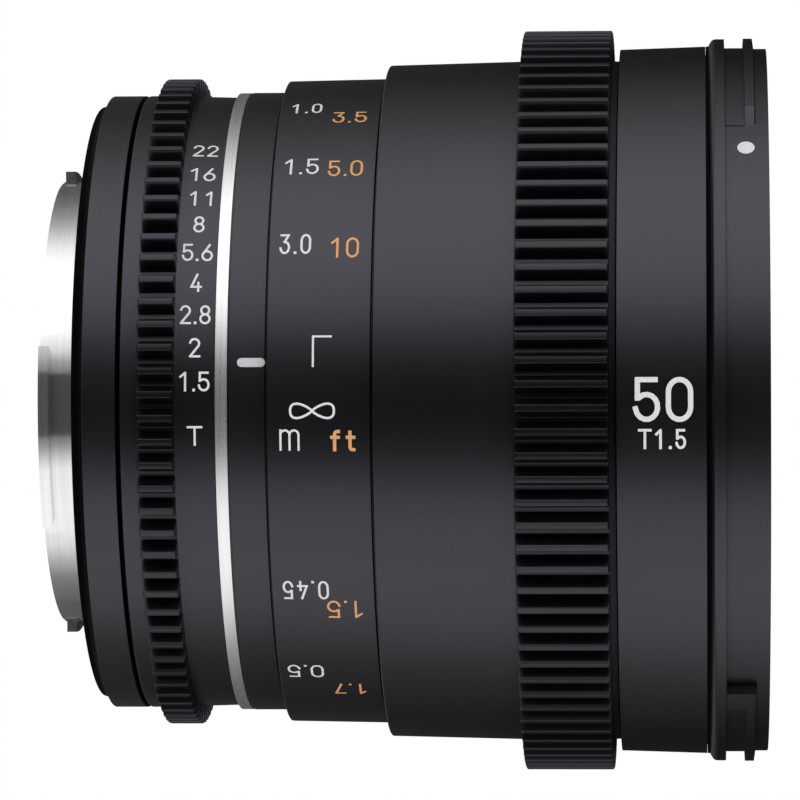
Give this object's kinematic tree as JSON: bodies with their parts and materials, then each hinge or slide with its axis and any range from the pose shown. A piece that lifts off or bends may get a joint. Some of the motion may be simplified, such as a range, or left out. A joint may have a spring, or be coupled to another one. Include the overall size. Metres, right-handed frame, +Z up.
{
  "type": "cinema prime lens",
  "caption": "Manual cinema prime lens with geared focus and iris rings, a camera bayonet at the rear, and a hood bayonet and filter thread at the front.",
  "frame": {"origin": "centre of the face that seats on the camera", "axes": "+X along the optical axis towards the subject, +Z up, and the side with the scales faces -Y"},
  "size_m": [0.0801, 0.084, 0.084],
  "materials": {
    "bayonet_steel": "turned and brushed steel",
    "screw_steel": "blackened steel screws",
    "bush_steel": "ground steel",
    "fork_steel": "sheet steel",
    "black_anodised": "satin black anodised",
    "inner_black_metal": "dull black anodised",
    "matt_black_metal": "matt black paint that kills reflections",
    "silver_anodised": "bright silver anodised",
    "bare_aluminium": "bare turned aluminium",
    "key_brass": "turned brass",
    "black_felt": "black felt",
    "blade_steel": "thin blackened steel",
    "optical_glass": "coated optical glass"
  },
  "bodies": {
    "lens_barrel": {"bayonet_mount": "bayonet_steel", "mount_screws": "screw_steel", "rear_baffle": "matt_black_metal", "mount_housing": "black_anodised", "barrel_screws": "screw_steel", "main_barrel": "inner_black_metal", "trim_ring": "silver_anodised", "index_ring": "black_anodised", "guide_keys": "key_brass", "key_screws": "screw_steel", "helicoid_retainer": "inner_black_metal", "front_barrel": "black_anodised", "front_barrel_screws": "screw_steel", "hood_ring": "black_anodised"},
    "focus_group": {"focus_ring": "black_anodised", "distance_scale_ring": "black_anodised", "helicoid_nut": "key_brass", "drive_bushes": "bush_steel", "drive_screws": "screw_steel"},
    "iris_group": {"iris_ring": "black_anodised", "iris_fork": "fork_steel"},
    "optical_block": {"helicoid_sleeve": "bare_aluminium", "front_cell": "inner_black_metal", "cell_screws": "screw_steel", "front_shroud": "inner_black_metal", "felt_seal": "black_felt", "name_ring": "matt_black_metal", "front_retainer": "inner_black_metal", "front_spacer": "inner_black_metal", "middle_spacer": "inner_black_metal", "iris_housing": "inner_black_metal", "floor_screws": "screw_steel", "iris_screws": "screw_steel", "rear_cell": "matt_black_metal", "inner_retainer": "inner_black_metal", "rear_spacer": "inner_black_metal", "rear_retainer": "matt_black_metal", "lens_element_1": "optical_glass", "lens_element_2": "optical_glass", "lens_element_3": "optical_glass", "lens_element_4": "optical_glass", "lens_element_5": "optical_glass", "lens_element_6": "optical_glass", "lens_element_7": "optical_glass", "lens_element_8": "optical_glass", "lens_element_9": "optical_glass"},
    "cam_ring": {"iris_cam_ring": "bare_aluminium"},
    "blade_1": {"iris_blade_1": "blade_steel"},
    "blade_2": {"iris_blade_2": "blade_steel"},
    "blade_3": {"iris_blade_3": "blade_steel"},
    "blade_4": {"iris_blade_4": "blade_steel"},
    "blade_5": {"iris_blade_5": "blade_steel"},
    "blade_6": {"iris_blade_6": "blade_steel"},
    "blade_7": {"iris_blade_7": "blade_steel"},
    "blade_8": {"iris_blade_8": "blade_steel"},
    "blade_9": {"iris_blade_9": "blade_steel"}
  },
  "joints": [
    {"name": "focus_turn", "type": "hinge", "parent": "lens_barrel", "child": "focus_group", "pos_m": [0.04, 0, 0], "axis": [1, 0, 0], "range_deg": [0, 137]},
    {"name": "focus_slide", "type": "slide", "parent": "lens_barrel", "child": "optical_block", "axis": [1, 0, 0], "range_m": [0, 0.0072]},
    {"name": "iris_turn", "type": "hinge", "parent": "lens_barrel", "child": "iris_group", "pos_m": [0.0104, 0, 0], "axis": [1, 0, 0], "range_deg": [-3.4, 48]},
    {"name": "cam_turn", "type": "hinge", "parent": "optical_block", "child": "cam_ring", "pos_m": [0.0287, 0, 0], "axis": [1, 0, 0], "range_deg": [-3.4, 48]},
    {"name": "blade_1_pivot", "type": "hinge", "parent": "optical_block", "child": "blade_1", "pos_m": [0.0305, 0.02201, 0.00468], "axis": [1, 0, 0], "range_deg": [-2.25, 31.76]},
    {"name": "blade_2_pivot", "type": "hinge", "parent": "optical_block", "child": "blade_2", "pos_m": [0.0305, 0.01385, 0.01773], "axis": [1, 0, 0], "range_deg": [-2.25, 31.76]},
    {"name": "blade_3_pivot", "type": "hinge", "parent": "optical_block", "child": "blade_3", "pos_m": [0.0305, -0.00079, 0.02249], "axis": [1, 0, 0], "range_deg": [-2.25, 31.76]},
    {"name": "blade_4_pivot", "type": "hinge", "parent": "optical_block", "child": "blade_4", "pos_m": [0.0305, -0.01506, 0.01672], "axis": [1, 0, 0], "range_deg": [-2.25, 31.76]},
    {"name": "blade_5_pivot", "type": "hinge", "parent": "optical_block", "child": "blade_5", "pos_m": [0.0305, -0.02228, 0.00313], "axis": [1, 0, 0], "range_deg": [-2.25, 31.76]},
    {"name": "blade_6_pivot", "type": "hinge", "parent": "optical_block", "child": "blade_6", "pos_m": [0.0305, -0.01908, -0.01192], "axis": [1, 0, 0], "range_deg": [-2.25, 31.76]},
    {"name": "blade_7_pivot", "type": "hinge", "parent": "optical_block", "child": "blade_7", "pos_m": [0.0305, -0.00695, -0.0214], "axis": [1, 0, 0], "range_deg": [-2.25, 31.76]},
    {"name": "blade_8_pivot", "type": "hinge", "parent": "optical_block", "child": "blade_8", "pos_m": [0.0305, 0.00843, -0.02086], "axis": [1, 0, 0], "range_deg": [-2.25, 31.76]},
    {"name": "blade_9_pivot", "type": "hinge", "parent": "optical_block", "child": "blade_9", "pos_m": [0.0305, 0.01987, -0.01056], "axis": [1, 0, 0], "range_deg": [-2.25, 31.76]}
  ],
  "couplings": [
    {"joint": "focus_slide", "follows": "focus_turn", "m_per_rad": 0.003011},
    {"joint": "cam_turn", "follows": "iris_turn", "ratio": 1},
    {"joint": "blade_1_pivot", "follows": "iris_turn", "ratio": 0.66148},
    {"joint": "blade_2_pivot", "follows": "iris_turn", "ratio": 0.66148},
    {"joint": "blade_3_pivot", "follows": "iris_turn", "ratio": 0.66148},
    {"joint": "blade_4_pivot", "follows": "iris_turn", "ratio": 0.66148},
    {"joint": "blade_5_pivot", "follows": "iris_turn", "ratio": 0.66148},
    {"joint": "blade_6_pivot", "follows": "iris_turn", "ratio": 0.66148},
    {"joint": "blade_7_pivot", "follows": "iris_turn", "ratio": 0.66148},
    {"joint": "blade_8_pivot", "follows": "iris_turn", "ratio": 0.66148},
    {"joint": "blade_9_pivot", "follows": "iris_turn", "ratio": 0.66148}
  ]
}
